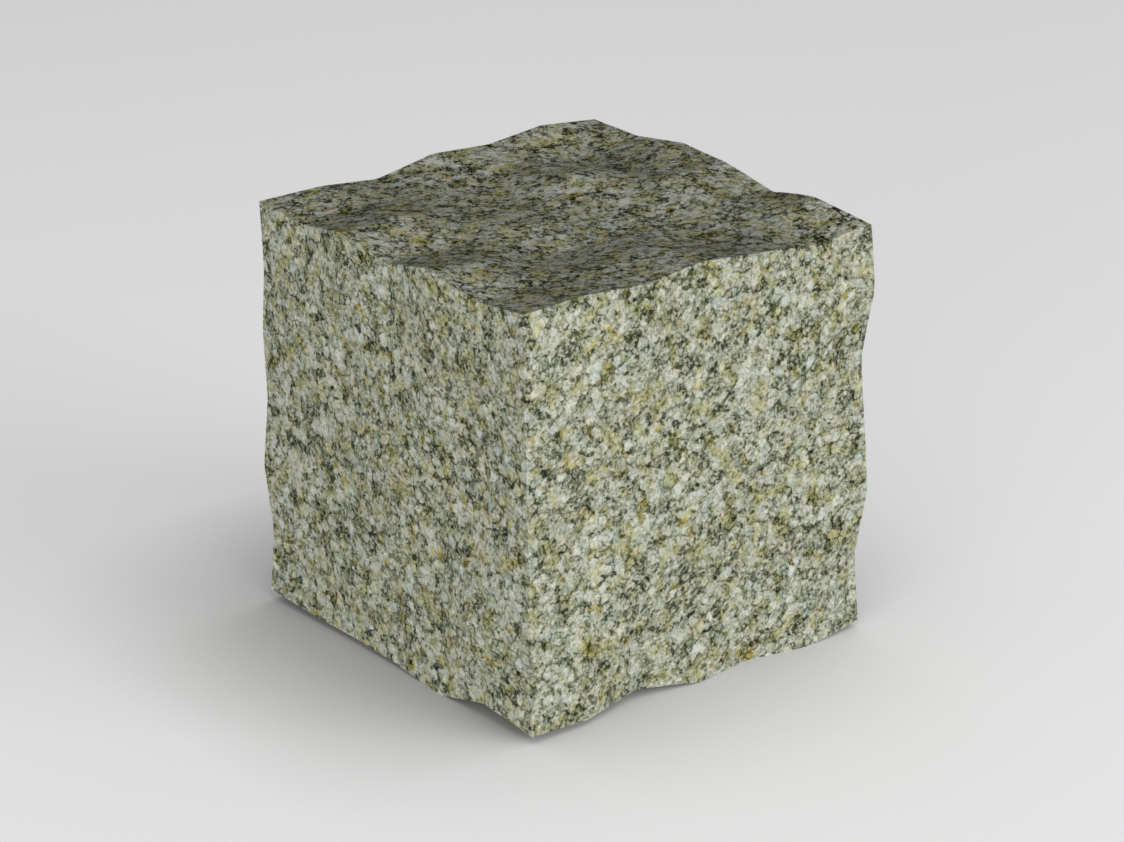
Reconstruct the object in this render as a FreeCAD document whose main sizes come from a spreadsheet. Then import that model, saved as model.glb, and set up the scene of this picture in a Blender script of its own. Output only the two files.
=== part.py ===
import FreeCAD, Part
import math
import os

# Granite sett: one cube of granite, cleft on all six sides, 100 mm nominal.
# The frame has +Z up, the front side towards -Y and the left side towards -X.
# The origin is under the middle of the sett, at the level of the ground.


# Driving dimensions

DIMENSIONS = [
    ("side", 100.0),       # distance between two opposite side planes, the nominal size
    ("relief", 0.25),      # height of one step of the nets below
    ("fold", 3.6),         # half the width of the rounded fold between two facets
    ("rough", 106.0),      # edge of the rough block, before it is split to size
    ("overlap", 6.0),      # how far each cleft face runs on past its neighbours' planes
    ("waste", 8.0),        # thickness of the stone split off each side
    ("bearing", 1.7),      # height of the nominal bottom plane above the ground
]

doc = FreeCAD.newDocument("granite_sett")
sheet = doc.addObject("Spreadsheet::Sheet", "dimensions")
for row, (alias, value) in enumerate(DIMENSIONS, start=1):
    sheet.set(f"A{row}", alias)
    sheet.set(f"B{row}", str(value))
    sheet.setAlias(f"B{row}", alias)
doc.recompute()


# Cleft faces

# A split runs through the grain in shallow waves, which six by six facets follow. Each net tells
# how far the corners of the facets stand out from the face's flat plane, in steps of relief.
# A row runs from left to right as one looks squarely at the face, and the rows go downwards.
# The top is seen from above with its back row first, the bottom from below, front row first.

NETS = {
    "top": [
        [-2, 0, -7, 4, 1, 6, 0],
        [-9, -3, -5, -8, -3, -12, 0],
        [5, 6, -5, -9, 7, -7, 8],
        [-7, -8, -3, -6, -6, 6, 7],
        [8, -1, -14, -8, -10, 0, -6],
        [-6, -4, -2, 1, -11, -3, 10],
        [2, 4, 0, 5, 0, -9, -2],
    ],
    "front": [
        [-2, -2, 1, -3, 2, -4, 2],
        [-3, 2, 3, -2, -4, 1, 2],
        [1, 4, -1, -4, 2, 3, -5],
        [0, -3, 2, 4, 1, -3, 2],
        [2, -1, 5, 1, -4, 2, 5],
        [2, 4, -1, -3, 1, 4, -4],
        [4, 4, -10, 0, -8, 5, 1],
    ],
    "left": [
        [0, -6, 4, 0, 8, -1, 2],
        [1, 2, 2, -4, 3, 3, 0],
        [-1, 5, -3, 1, 5, -2, 1],
        [-3, -2, 3, 5, -1, -4, -1],
        [3, 1, -3, 2, -4, 3, -1],
        [-2, -4, 3, -2, 1, 5, -2],
        [2, 0, -2, -2, 0, -2, -2],
    ],
    "right": [
        [-1, -8, 0, -2, 2, -1, 0],
        [6, 1, -4, 1, 3, -2, -3],
        [-2, 2, 5, -1, -3, 3, 1],
        [-1, -4, 1, 4, -1, -4, 3],
        [2, 1, -5, -1, 5, 1, -3],
        [-4, 2, -1, -4, 2, 6, 2],
        [-1, 0, 4, 2, -2, -1, -4],
    ],
    "back": [
        [0, 2, -1, 1, -1, -2, 2],
        [-3, 4, 3, -3, 3, 2, -4],
        [2, 1, -4, 1, 5, -3, 5],
        [4, -2, 1, 5, -1, -4, 3],
        [-2, 2, 7, -1, -5, 2, 3],
        [1, 5, 2, -4, 1, 4, -2],
        [-2, -3, 3, 3, -1, 1, 0],
    ],
    "bottom": [
        [-2, 1, -4, 6, 8, 7, 0],
        [-8, 1, 3, -1, 3, -2, -3],
        [9, 3, -4, -4, 0, -3, 2],
        [3, -2, -5, 1, -2, 1, 4],
        [1, 3, 1, -4, -4, 2, -2],
        [0, 9, -1, 0, 3, 9, 3],
        [-3, 1, 3, -3, 2, 2, -2],
    ],
}

FACETS = len(NETS["top"]) - 1

UP = FreeCAD.Vector(0, 0, 1)
DOWN = FreeCAD.Vector(0, 0, -1)
RIGHT = FreeCAD.Vector(1, 0, 0)
LEFT = FreeCAD.Vector(-1, 0, 0)
FORWARD = FreeCAD.Vector(0, -1, 0)
BACKWARD = FreeCAD.Vector(0, 1, 0)

# The way that each face looks, and the ways that its rows and its columns run.
FACINGS = {
    "top": (UP, RIGHT, FORWARD),
    "front": (FORWARD, RIGHT, DOWN),
    "left": (LEFT, FORWARD, DOWN),
    "right": (RIGHT, BACKWARD, DOWN),
    "back": (BACKWARD, LEFT, DOWN),
    "bottom": (DOWN, RIGHT, BACKWARD),
}


def net_height(net, across, down):
    """Height at a place counted in facets from the net's first corner. Outer facets run on straight."""
    last = FACETS - 1
    column = min(max(math.floor(across), 0), last)
    row = min(max(math.floor(down), 0), last)
    u = across - column
    v = down - row
    upper = net[row][column] * (1 - u) + net[row][column + 1] * u
    lower = net[row + 1][column] * (1 - u) + net[row + 1][column + 1] * u
    return (upper * (1 - v) + lower * v) * sheet.relief


def fold_knots():
    """Knots of a quadratic curve that is straight on each facet and rounded at each fold."""
    facet = sheet.side / FACETS
    margin = sheet.overlap / facet
    half_fold = sheet.fold / facet
    knots = [-margin]
    for fold in range(1, FACETS):
        knots += [fold - half_fold, fold + half_fold]
    knots.append(FACETS + margin)
    return knots


def cleft_surface(name):
    """Quadratic B-spline face over one net: flat facets with rounded folds between them."""
    outward, across_way, down_way = FACINGS[name]
    facet = sheet.side / FACETS
    half = sheet.side / 2
    middle = UP * (half + sheet.bearing)
    knots = fold_knots()
    multiplicities = [3] + [1] * (len(knots) - 2) + [3]
    clamped = [knots[0]] * 2 + knots + [knots[-1]] * 2
    stations = [(clamped[k] + clamped[k + 1]) / 2 for k in range(1, len(clamped) - 2)]
    poles = []
    for across in stations:
        column = []
        for down in stations:
            height = net_height(NETS[name], across, down)
            place = middle + outward * (half + height)
            place = place + across_way * (across * facet - half)
            place = place + down_way * (down * facet - half)
            column.append(place)
        poles.append(column)
    surface = Part.BSplineSurface()
    surface.buildFromPolesMultsKnots(
        poles, multiplicities, multiplicities, knots, knots, False, False, 2, 2
    )
    return surface.toShape()


def add_cleft_face(name):
    """The broken face itself, drawn past the arrises that its neighbours will cut."""
    face = doc.addObject("Part::Feature", f"{name}_cleft")
    face.Shape = cleft_surface(name)
    return face


def add_waste(name, face):
    """The stone beyond a cleft face, which comes off with the split."""
    waste = doc.addObject("Part::Extrusion", f"{name}_waste")
    waste.Base = face
    waste.DirMode = "Custom"
    waste.Dir = FACINGS[name][0]
    waste.Solid = True
    waste.setExpression("LengthFwd", "dimensions.waste")
    return waste


# Rough block

block = doc.addObject("Part::Box", "rough_block")
for edge in ("Length", "Width", "Height"):
    block.setExpression(edge, "dimensions.rough")
block.setExpression("Placement.Base.x", "-dimensions.rough / 2")
block.setExpression("Placement.Base.y", "-dimensions.rough / 2")
block.setExpression("Placement.Base.z", "dimensions.bearing + (dimensions.side - dimensions.rough) / 2")


# Splitting, one side after another

stone = block
for name in FACINGS:
    split = doc.addObject("Part::Cut", f"{name}_split")
    split.Base = stone
    split.Tool = add_waste(name, add_cleft_face(name))
    stone = split


# Bearing spots: the highest crests of the underside are dressed level, and the sett stands on them

ground = doc.addObject("Part::Box", "ground")
ground.setExpression("Length", "dimensions.rough")
ground.setExpression("Width", "dimensions.rough")
ground.setExpression("Height", "dimensions.waste")
ground.setExpression("Placement.Base.x", "-dimensions.rough / 2")
ground.setExpression("Placement.Base.y", "-dimensions.rough / 2")
ground.setExpression("Placement.Base.z", "-dimensions.waste")

sett = doc.addObject("Part::Cut", "granite_sett")
sett.Label = "granite_sett"
sett.Base = stone
sett.Tool = ground
doc.recompute()


# Checks and export

for item in doc.Objects:
    if "Invalid" in item.State or "Error" in item.State:
        raise RuntimeError(f"{item.Name} failed: {item.State}")
if sett.Shape.isNull() or not sett.Shape.isValid() or len(sett.Shape.Solids) != 1:
    raise RuntimeError("the sett is not one valid solid")

# The origin belongs under the middle of the stone as it came out, crests included.
corners = sett.Shape.tessellate(0.01)[0]
if abs(min(p.z for p in corners)) > 0.001:
    raise RuntimeError("a crest of the underside was not dressed level")
middle_x = (min(p.x for p in corners) + max(p.x for p in corners)) / 2
middle_y = (min(p.y for p in corners) + max(p.y for p in corners)) / 2
sett.Placement.Base = FreeCAD.Vector(-middle_x, -middle_y, 0)

os.makedirs("parts", exist_ok=True)
sett.Shape.exportStep(f"parts/{sett.Label}.step")
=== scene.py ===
import math

import bpy
import numpy as np
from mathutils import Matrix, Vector


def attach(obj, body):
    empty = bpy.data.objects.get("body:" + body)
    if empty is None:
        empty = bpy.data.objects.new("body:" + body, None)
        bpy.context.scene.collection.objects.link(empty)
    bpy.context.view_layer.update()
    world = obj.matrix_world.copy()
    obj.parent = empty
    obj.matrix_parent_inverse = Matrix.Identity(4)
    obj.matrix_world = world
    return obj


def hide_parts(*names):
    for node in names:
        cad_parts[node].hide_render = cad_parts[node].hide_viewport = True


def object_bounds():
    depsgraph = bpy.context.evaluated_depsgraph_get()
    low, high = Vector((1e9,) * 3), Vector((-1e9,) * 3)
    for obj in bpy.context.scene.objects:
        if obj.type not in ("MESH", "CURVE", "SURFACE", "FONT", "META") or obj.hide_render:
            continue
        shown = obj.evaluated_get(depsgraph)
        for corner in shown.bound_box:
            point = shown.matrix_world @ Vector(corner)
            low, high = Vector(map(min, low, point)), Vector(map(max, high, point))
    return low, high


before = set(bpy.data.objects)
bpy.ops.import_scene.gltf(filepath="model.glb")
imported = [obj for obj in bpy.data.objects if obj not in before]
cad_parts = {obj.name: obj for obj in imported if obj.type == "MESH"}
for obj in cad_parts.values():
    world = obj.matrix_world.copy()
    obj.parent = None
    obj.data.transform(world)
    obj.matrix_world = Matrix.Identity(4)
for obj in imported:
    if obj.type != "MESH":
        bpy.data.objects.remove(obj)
cad_low, cad_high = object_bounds()


# The sett is one cube of grey-green granite, split from the block on all six sides with a
# guillotine, so every face is a shallow cleft wave and every arris is the line where two of
# them meet. It lies loose on its underside, on four crests that are dressed level.

SIDE = 0.100        # distance in metres between two opposite side planes, the nominal size
RELIEF = 0.00025    # height of one step of the nets below
FOLD = 0.0010       # half the width of the rounded fold between two facets
BEARING = 0.0017    # height of the nominal bottom plane above the ground
FACETS = 6          # facets along each side of a face
CELLS = 128         # mesh cells along each side of a face
CRYSTAL = 0.00015   # height of the crystal relief, which only ever goes inwards
SHARP = 45          # degrees between two cells from which their edge is an arris

# How far the corners of each face's facets stand out from its flat plane, in steps of relief.
# A row runs from left to right as one looks squarely at the face, and the rows go downwards.
# The top is seen from above with its back row first, the bottom from below, front row first.
NETS = {
    "top": [
        [-2, 0, -7, 4, 1, 6, 0],
        [-9, -3, -5, -8, -3, -12, 0],
        [5, 6, -5, -9, 7, -7, 8],
        [-7, -8, -3, -6, -6, 6, 7],
        [8, -1, -14, -8, -10, 0, -6],
        [-6, -4, -2, 1, -11, -3, 10],
        [2, 4, 0, 5, 0, -9, -2],
    ],
    "front": [
        [-2, -2, 1, -3, 2, -4, 2],
        [-3, 2, 3, -2, -4, 1, 2],
        [1, 4, -1, -4, 2, 3, -5],
        [0, -3, 2, 4, 1, -3, 2],
        [2, -1, 5, 1, -4, 2, 5],
        [2, 4, -1, -3, 1, 4, -4],
        [4, 4, -10, 0, -8, 5, 1],
    ],
    "left": [
        [0, -6, 4, 0, 8, -1, 2],
        [1, 2, 2, -4, 3, 3, 0],
        [-1, 5, -3, 1, 5, -2, 1],
        [-3, -2, 3, 5, -1, -4, -1],
        [3, 1, -3, 2, -4, 3, -1],
        [-2, -4, 3, -2, 1, 5, -2],
        [2, 0, -2, -2, 0, -2, -2],
    ],
    "right": [
        [-1, -8, 0, -2, 2, -1, 0],
        [6, 1, -4, 1, 3, -2, -3],
        [-2, 2, 5, -1, -3, 3, 1],
        [-1, -4, 1, 4, -1, -4, 3],
        [2, 1, -5, -1, 5, 1, -3],
        [-4, 2, -1, -4, 2, 6, 2],
        [-1, 0, 4, 2, -2, -1, -4],
    ],
    "back": [
        [0, 2, -1, 1, -1, -2, 2],
        [-3, 4, 3, -3, 3, 2, -4],
        [2, 1, -4, 1, 5, -3, 5],
        [4, -2, 1, 5, -1, -4, 3],
        [-2, 2, 7, -1, -5, 2, 3],
        [1, 5, 2, -4, 1, 4, -2],
        [-2, -3, 3, 3, -1, 1, 0],
    ],
    "bottom": [
        [-2, 1, -4, 6, 8, 7, 0],
        [-8, 1, 3, -1, 3, -2, -3],
        [9, 3, -4, -4, 0, -3, 2],
        [3, -2, -5, 1, -2, 1, 4],
        [1, 3, 1, -4, -4, 2, -2],
        [0, 9, -1, 0, 3, 9, 3],
        [-3, 1, 3, -3, 2, 2, -2],
    ],
}

# The way that each face looks, and the ways that its rows and its columns run.
FACINGS = {
    "top": np.array([[0, 0, 1], [1, 0, 0], [0, -1, 0]]),
    "front": np.array([[0, -1, 0], [1, 0, 0], [0, 0, -1]]),
    "left": np.array([[-1, 0, 0], [0, -1, 0], [0, 0, -1]]),
    "right": np.array([[1, 0, 0], [0, 1, 0], [0, 0, -1]]),
    "back": np.array([[0, 1, 0], [-1, 0, 0], [0, 0, -1]]),
    "bottom": np.array([[0, 0, -1], [1, 0, 0], [0, 1, 0]]),
}


def fold_weights(places):
    """Share of each net line in the height at a place counted in facets: it falls in a straight
    line to nothing at the next net line, a parabola rounds it at a fold, and beyond the outer
    net lines it runs on straight."""
    facet = np.clip(np.floor(places).astype(int), 0, FACETS - 1)
    weights = np.zeros((len(places), FACETS + 1))
    each = np.arange(len(places))
    weights[each, facet] = 1 - (places - facet)
    weights[each, facet + 1] = places - facet
    half_fold = FOLD / SIDE * FACETS
    for line in range(1, FACETS):
        inside = np.maximum(half_fold - np.abs(places - line), 0)
        rounding = inside**2 / (4 * half_fold)
        weights[:, line - 1] += rounding
        weights[:, line] -= 2 * rounding
        weights[:, line + 1] += rounding
    return weights


def cleft_height(name, points):
    """Height of a cleft face over its flat plane: its net, weighted along rows and columns."""
    outward, across_way, down_way = FACINGS[name]
    across = (points @ across_way / SIDE + 0.5) * FACETS
    down = (points @ down_way / SIDE + 0.5) * FACETS
    net = np.array(NETS[name], float)
    return RELIEF * np.einsum("ni,ij,nj->n", fold_weights(down), net, fold_weights(across))


def split_to_shape(cube, rounds=8):
    """Each point of the flat cube moves out with the six cleft faces, with each of them by its
    height times the share of the way that the point lies towards it. The height is that at the
    moved point, so the move is worked out again until it settles."""
    stone = cube
    for _ in range(rounds):
        moved = cube.copy()
        for name, (outward, across_way, down_way) in FACINGS.items():
            share = cube @ outward / SIDE + 0.5
            moved += (share * cleft_height(name, stone))[:, None] * outward
        stone = moved
    return stone


def crystal_relief(points, waves=48, shortest=0.0025, longest=0.0070):
    """Mean of sine waves in seeded random directions, as the crystals leave a cleft face."""
    seed = np.random.default_rng(11)
    ways = seed.normal(size=(waves, 3))
    ways /= np.linalg.norm(ways, axis=1)[:, None]
    lengths = seed.uniform(shortest, longest, waves)
    starts = seed.uniform(0, 2 * math.pi, waves)
    turns = points @ (ways * 2 * math.pi / lengths[:, None]).T + starts
    return np.sin(turns).mean(axis=1)


def outward_normals(points, quads):
    """Sum of the cross products of the diagonals of the quads round each point, at length one."""
    corners = points[quads]
    crosses = np.cross(corners[:, 2] - corners[:, 0], corners[:, 3] - corners[:, 1])
    normals = np.zeros_like(points)
    np.add.at(normals, quads.ravel(), np.repeat(crosses, 4, axis=0))
    return normals / np.linalg.norm(normals, axis=1)[:, None]


# Six sheets of cells make the flat cube. Points on its edges fall together and are merged.
steps = np.arange(CELLS + 1)
rows, columns = (part.ravel()[:, None] for part in np.meshgrid(steps, steps, indexing="ij"))
sheets = []
for outward, across_way, down_way in FACINGS.values():
    corner = outward - across_way - down_way
    sheets.append(CELLS * corner + 2 * (columns * across_way + rows * down_way))
lattice, merged = np.unique(np.concatenate(sheets), axis=0, return_inverse=True)
grid = np.arange(len(merged)).reshape(6, CELLS + 1, CELLS + 1)
quads = np.stack(
    [grid[:, :-1, :-1], grid[:, 1:, :-1], grid[:, 1:, 1:], grid[:, :-1, 1:]], axis=-1
)
quads = merged.ravel()[quads.reshape(-1, 4)]

stone = split_to_shape(lattice * SIDE / 2 / CELLS)
relief = crystal_relief(stone)
relief = CRYSTAL * (relief - relief.max())
surface = stone + relief[:, None] * outward_normals(stone, quads)

# The sett is lifted onto the ground, its bearing crests are cut level, and its middle goes over
# the origin, as in the frame.
to_ground = SIDE / 2 + BEARING
on_crest = stone[:, 2] + to_ground <= 0
surface[:, 2] = np.where(on_crest, 0, np.maximum(surface[:, 2] + to_ground, 0))
shift = np.append(-(stone[:, :2].min(axis=0) + stone[:, :2].max(axis=0)) / 2, 0)
surface = np.clip(surface + shift, cad_low, cad_high)

mesh = bpy.data.meshes.new("granite_sett_cleft")
mesh.from_pydata(surface.tolist(), [], quads.tolist())
mesh.shade_smooth()
mesh.set_sharp_from_angle(angle=math.radians(SHARP))
mesh.validate()
sett = bpy.data.objects.new("granite_sett_cleft", mesh)
bpy.context.scene.collection.objects.link(sett)


class Wire:
    """A socket of a node tree. Arithmetic on wires and numbers adds Math nodes to the tree."""

    def __init__(self, tree, socket=None):
        self.tree = tree
        self.socket = socket

    def node(self, kind, settings=None, inputs=None, output=0):
        """Adds a node: its settings are set first, then the values or links of its sockets."""
        made = self.tree.nodes.new(kind)
        for name, setting in (settings or {}).items():
            if name == "stops":
                elements = made.color_ramp.elements
                elements.remove(elements[1])
                elements[0].position, elements[0].color = setting[0]
                for position, tint in setting[1:]:
                    elements.new(position).color = tint
            else:
                setattr(made, name, setting)
        for key, given in (inputs or {}).items():
            if isinstance(given, Wire):
                self.tree.links.new(given.socket, made.inputs[key])
            else:
                made.inputs[key].default_value = given
        return Wire(self.tree, made.outputs[output])

    def math(self, operation, first, second=0.0):
        """A Math node between two wires or numbers."""
        return self.node("ShaderNodeMath", {"operation": operation}, {0: first, 1: second})

    def __add__(self, other):
        return self.math("ADD", self, other)

    def __sub__(self, other):
        return self.math("SUBTRACT", self, other)

    def __mul__(self, other):
        return self.math("MULTIPLY", self, other)

    def __rsub__(self, other):
        return self.math("SUBTRACT", other, self)

    def __pow__(self, other):
        return self.math("POWER", self, other)

    def between(self, low, high):
        """Rises smoothly from nothing at low to one at high, or falls where low is the larger."""
        ends = (low, high, 0.0, 1.0) if low < high else (high, low, 1.0, 0.0)
        inputs = dict(zip(("From Min", "From Max", "To Min", "To Max"), ends))
        settings = {"interpolation_type": "SMOOTHSTEP"}
        return self.node("ShaderNodeMapRange", settings, {"Value": self, **inputs})

    def tinted(self, share, tint):
        """This colour multiplied by a tint in a given share."""
        settings = {"data_type": "RGBA", "blend_type": "MULTIPLY"}
        return self.node("ShaderNodeMix", settings, {0: share, 6: self, 7: tint}, output=2)

    def channel(self, number):
        """One of this colour's three channels as a number."""
        return self.node("ShaderNodeSeparateColor", inputs={0: self}, output=number)

    def along(self, way):
        """How far this vector reaches in a given way."""
        settings = {"operation": "DOT_PRODUCT"}
        return self.node("ShaderNodeVectorMath", settings, {0: self, 1: way}, "Value")


def colour(red, green, blue):
    """A colour as a screen shows it, from 0 to 255, as the linear light that the nodes need."""
    parts = [part / 255 for part in (red, green, blue)]
    return (*[p / 12.92 if p <= 0.04045 else ((p + 0.055) / 1.055) ** 2.4 for p in parts], 1.0)


# The stone is a medium-grained granite: crystals of two sizes with ragged borders, in random
# cells worked out on the stone's own coordinates, so that the grain runs on over the arrises.

granite = bpy.data.materials.new("cleft_granite")
granite.use_nodes = True
tree = granite.node_tree
tree.nodes.clear()
start = Wire(tree)
place = start.node("ShaderNodeTexCoord", output="Object")


def noise(scale, detail=2.0, roughness=0.55, vector=None, offset=0.0, output="Fac"):
    """Fractal noise on the stone's own coordinates, scale in waves a metre. An offset gives each
    noise a field of its own."""
    spot = vector or place
    if offset:
        spot = spot.node("ShaderNodeVectorMath", {"operation": "ADD"}, {0: spot, 1: (offset,) * 3})
    inputs = {"Vector": spot, "Scale": scale, "Detail": detail, "Roughness": roughness}
    return spot.node("ShaderNodeTexNoise", {}, inputs, output)


def grains(scale, output="Distance", feature="F1"):
    """Crystals of one size, in grains a metre: random cells in space, with ragged borders."""
    inputs = {"Vector": ragged, "Scale": scale}
    return ragged.node("ShaderNodeTexVoronoi", {"feature": feature}, inputs, output)


def bent(vector, by, amount):
    """The coordinates pushed about by noise, so that crystals get ragged borders."""
    centred = by.node("ShaderNodeVectorMath", {"operation": "SUBTRACT"}, {0: by, 1: (0.5,) * 3})
    scaled = by.node(
        "ShaderNodeVectorMath", {"operation": "SCALE"}, {0: centred, "Scale": amount}
    )
    return by.node("ShaderNodeVectorMath", {"operation": "ADD"}, {0: vector, 1: scaled})


RAGGED = 0.0014         # how far the borders of the crystals are pushed about
COARSE = 430            # large crystals a metre, 2 to 3 mm each
FINE = 1150             # small crystals a metre, just under 1 mm each

ragged = bent(place, noise(700, detail=3, roughness=0.65, output="Color"), RAGGED)

# Crystals of two sizes lie mixed, each as pale as it came, paler at its middle and darker
# towards its border. Some of the large ones are nearly white. Fine specks run all through, and
# where the dark mica clusters, thin threads of it also follow the borders.
coarse = grains(COARSE)
coarse_kind = grains(COARSE, "Color")
fine = grains(FINE)
fine_kind = grains(FINE, "Color")
specks = noise(1400, detail=5, roughness=0.78, vector=ragged, offset=2.2)
clusters = noise(230, detail=2, roughness=0.6, offset=5.3)
threads = grains(COARSE, feature="DISTANCE_TO_EDGE").between(0.09, 0.0)
whites = coarse_kind.channel(2).between(0.76, 0.82) * coarse.between(0.62, 0.34)
paleness = (
    coarse_kind.channel(0) * 0.26
    + whites * 0.16
    + fine_kind.channel(0) * 0.30
    - coarse * 0.14
    - fine * 0.13
    - threads * clusters.between(0.54, 0.44) * 0.10
    + specks * 1.33
    + clusters * 0.24
    - 0.37
)

# On the upper side the grain is painted paler and with stronger contrast, its dark grains
# darker and its pale ones standing out: painted light and shade for how light rakes the top.
MIDDLE = 0.55           # paleness of the middling grain
upper = start.node("ShaderNodeNewGeometry", output="Normal").along((0, 0, 1)).between(0.5, 0.8)
paleness = (paleness - MIDDLE) * (upper * 0.56 + 1) + upper * 0.052 + (MIDDLE + 0.004)

# Dark biotite, grey-green quartz and pale feldspar follow one another on this scale.
MINERALS = [
    (0.20, colour(35, 39, 33)),
    (0.32, colour(71, 76, 62)),
    (0.39, colour(105, 110, 89)),
    (0.46, colour(138, 142, 119)),
    (0.54, colour(166, 169, 148)),
    (0.65, colour(189, 191, 173)),
    (0.80, colour(210, 212, 200)),
    (1.00, colour(229, 231, 222)),
]
minerals = paleness.node("ShaderNodeValToRGB", {"stops": MINERALS}, {"Fac": paleness})

# Iron stains the grains olive in soft patches and ochre in smaller spots; the olive tint is also
# laid on more strongly over the upper side. Other patches are tinged with blue-green or with pink.
stains = noise(235, detail=3, roughness=0.6, offset=7.7) + coarse_kind.channel(1) * 0.10
stains = stains + upper * 0.04
stone_colour = minerals.tinted(stains.between(0.53, 0.71), colour(242, 237, 199))
rusty = noise(200, detail=3, roughness=0.6, offset=1.7).between(0.58, 0.72)
stone_colour = stone_colour.tinted(rusty, colour(234, 219, 150))
cold = noise(220, detail=3, offset=12.9) + fine_kind.channel(1) * 0.12 + whites * 0.10
stone_colour = stone_colour.tinted(cold.between(0.57, 0.77), colour(234, 243, 248))
warm = noise(160, detail=2, offset=16.1).between(0.54, 0.70)
stone_colour = stone_colour.tinted(warm, colour(255, 247, 238))

shader = tree.nodes.new("ShaderNodeBsdfPrincipled")
tree.links.new(stone_colour.socket, shader.inputs["Base Color"])
roughness = 0.90 - paleness.between(0.40, 0.28) * 0.2
tree.links.new(roughness.socket, shader.inputs["Roughness"])
shader.inputs["Specular IOR Level"].default_value = 0.03
grit = {"Strength": 0.6, "Distance": 0.0006, "Height": paleness}
bump = start.node("ShaderNodeBump", inputs=grit)
tree.links.new(bump.socket, shader.inputs["Normal"])
output = tree.nodes.new("ShaderNodeOutputMaterial")
tree.links.new(shader.outputs[0], output.inputs["Surface"])
mesh.materials.append(granite)

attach(sett, "root")
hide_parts("granite_sett")


# The floor is a wide sheet of matt, pale grey card that runs on behind the stone without an
# edge. To the lens alone it also glows, so it looks pale but throws no more light on the stone.
# The card keeps the stone's shadow from the lamps. Painted shadow also dims its glow where the
# stone stands close over it, and a painted fall of light makes the glow brighter towards the
# front.

FLOOR = 6.0                     # side of the sheet
# The glow's growth towards the front is a painted fall of light, and the close and wide shades are
# painted shadow.
TOWARDS = (-0.4, -0.9, 0.0)     # the way in which the glow grows
TILT = (0.25, -0.43, 0.0)       # lean of the close shade, towards the key lamp
UPRIGHT = 0.87                  # share of the floor's own normal beside that lean
CLOSE = 0.06                    # reach of the close shade round the stone
WIDE = 0.3                      # reach of the wide shade round the stone

floor_mesh = bpy.data.meshes.new("floor")
reach = FLOOR / 2
floor_corners = [(-reach, -reach, 0), (reach, -reach, 0), (reach, reach, 0), (-reach, reach, 0)]
floor_mesh.from_pydata(floor_corners, [], [(0, 1, 2, 3)])
floor = bpy.data.objects.new("floor", floor_mesh)
bpy.context.scene.collection.objects.link(floor)

card = bpy.data.materials.new("card")
card.use_nodes = True
tree = card.node_tree
tree.nodes.clear()
start = Wire(tree)


def seen_by_lens(start):
    """One for rays that come from the lens, straight or by way of gloss or glass, else nothing."""
    kinds = ("Is Camera Ray", "Is Glossy Ray", "Is Transmission Ray")
    straight, gloss, glass = [start.node("ShaderNodeLightPath", output=kind) for kind in kinds]
    return start.math("MAXIMUM", start.math("MAXIMUM", straight, gloss), glass)


def shade(reach, **inputs):
    """Share of the sky over the floor that nothing hides within a reach."""
    inputs["Distance"] = reach
    return start.node("ShaderNodeAmbientOcclusion", {"samples": 4}, inputs, "AO")


level = start.node("ShaderNodeNewGeometry", output="Normal")
leaning = {0: level, 1: (UPRIGHT,) * 3, 2: TILT}
lean = start.node("ShaderNodeVectorMath", {"operation": "MULTIPLY_ADD"}, leaning)
# Painted shadow dims the glow where the stone hides the sky close by and farther off, and a
# painted fall of light brightens it towards the front.
openness = shade(CLOSE, Normal=lean) ** 1.1 * shade(WIDE) ** 0.6
painted_falloff = start.node("ShaderNodeTexCoord", output="Object").along(TOWARDS).between(-1.5, 1.5)
strength = seen_by_lens(start) * openness * (painted_falloff * 0.26 + 0.42)
matt = start.node("ShaderNodeBsdfDiffuse", inputs={"Color": colour(186, 186, 186)})
glow = start.node("ShaderNodeEmission", inputs={"Strength": strength})
both = start.node("ShaderNodeAddShader", inputs={0: matt, 1: glow})
output = tree.nodes.new("ShaderNodeOutputMaterial")
tree.links.new(both.socket, output.inputs["Surface"])
floor_mesh.materials.append(card)


# The light is a dim room and two wide soft boxes low over the floor, one to the right of the
# front and a flatter one on the left, so that they only graze the top. The lens sees a pale
# backdrop where the room is.

ROOM = 0.137        # light of the room on the stone and the floor
BACKDROP = 0.62     # light of the backdrop to the lens

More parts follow.
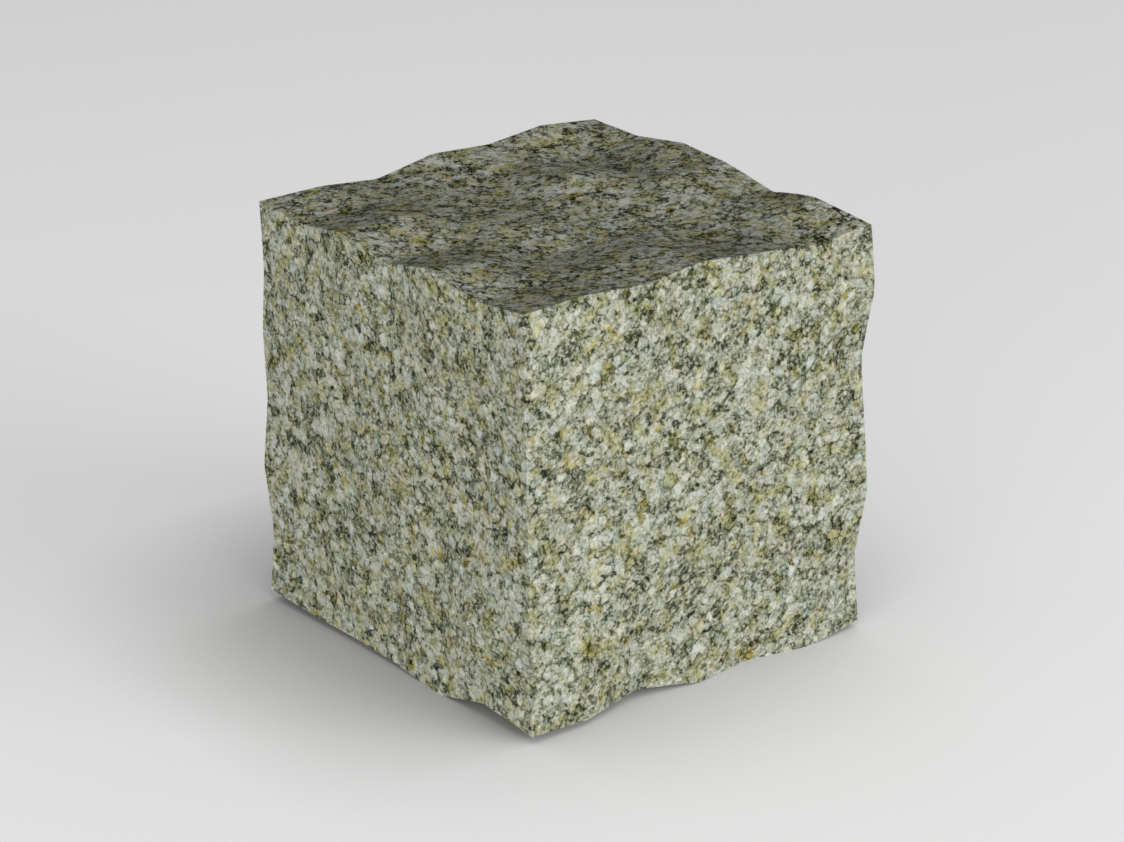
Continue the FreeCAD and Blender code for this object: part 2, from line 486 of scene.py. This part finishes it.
world = bpy.data.worlds.new("room")
bpy.context.scene.world = world
world.use_nodes = True
tree = world.node_tree
tree.nodes.clear()
start = Wire(tree)
to_lens = seen_by_lens(start)
room = start.node(
    "ShaderNodeBackground",
    inputs={"Color": (1, 1, 1, 1), "Strength": to_lens * (BACKDROP - ROOM) + ROOM},
)
output = tree.nodes.new("ShaderNodeOutputWorld")
tree.links.new(room.socket, output.inputs["Surface"])


def away(azimuth, elevation):
    """Way of length one from the stone, at an azimuth from the front and an elevation over the
    floor, both in degrees."""
    turn, rise = math.radians(azimuth), math.radians(elevation)
    return Vector(
        (math.sin(turn) * math.cos(rise), -math.cos(turn) * math.cos(rise), math.sin(rise))
    )


def soft_box(name, azimuth, elevation, distance, width, height, power):
    """A flat lamp of a width, height and power in watts that looks at the stone's middle."""
    back = away(azimuth, elevation)
    lamp = bpy.data.lights.new(name, "AREA")
    lamp.shape = "RECTANGLE"
    lamp.size = width
    lamp.size_y = height
    lamp.energy = power
    box = bpy.data.objects.new(name, lamp)
    box.location = Vector((0, 0, SIDE / 2)) + back * distance
    box.rotation_euler = back.to_track_quat("Z", "Y").to_euler()
    bpy.context.scene.collection.objects.link(box)


soft_box("key_box", 27, 18, 2.0, 1.4, 0.8, 27.2)
soft_box("fill_box", -62, 6, 2.0, 1.2, 0.36, 28.0)

bpy.context.scene.view_settings.view_transform = "Standard"


# The lens stands in front of the stone, to its left, and looks down at it from far off.

AZIMUTH = -38.653       # degrees from the front, negative to the left
ELEVATION = 22.009      # degrees over the floor
DISTANCE = 0.87065      # metres from what the lens looks at
AIM = Vector((-0.00028, 0, 0.04781 + BEARING)) + Vector(shift)  # what the lens looks at
LENS = 118.53           # focal length in millimetres

back = away(AZIMUTH, ELEVATION)
camera = bpy.data.objects.new("camera", bpy.data.cameras.new("camera"))
camera.data.lens = LENS
camera.data.clip_start = 0.05
camera.location = AIM + back * DISTANCE
camera.rotation_euler = back.to_track_quat("Z", "Y").to_euler()
bpy.context.scene.collection.objects.link(camera)
bpy.context.scene.camera = camera
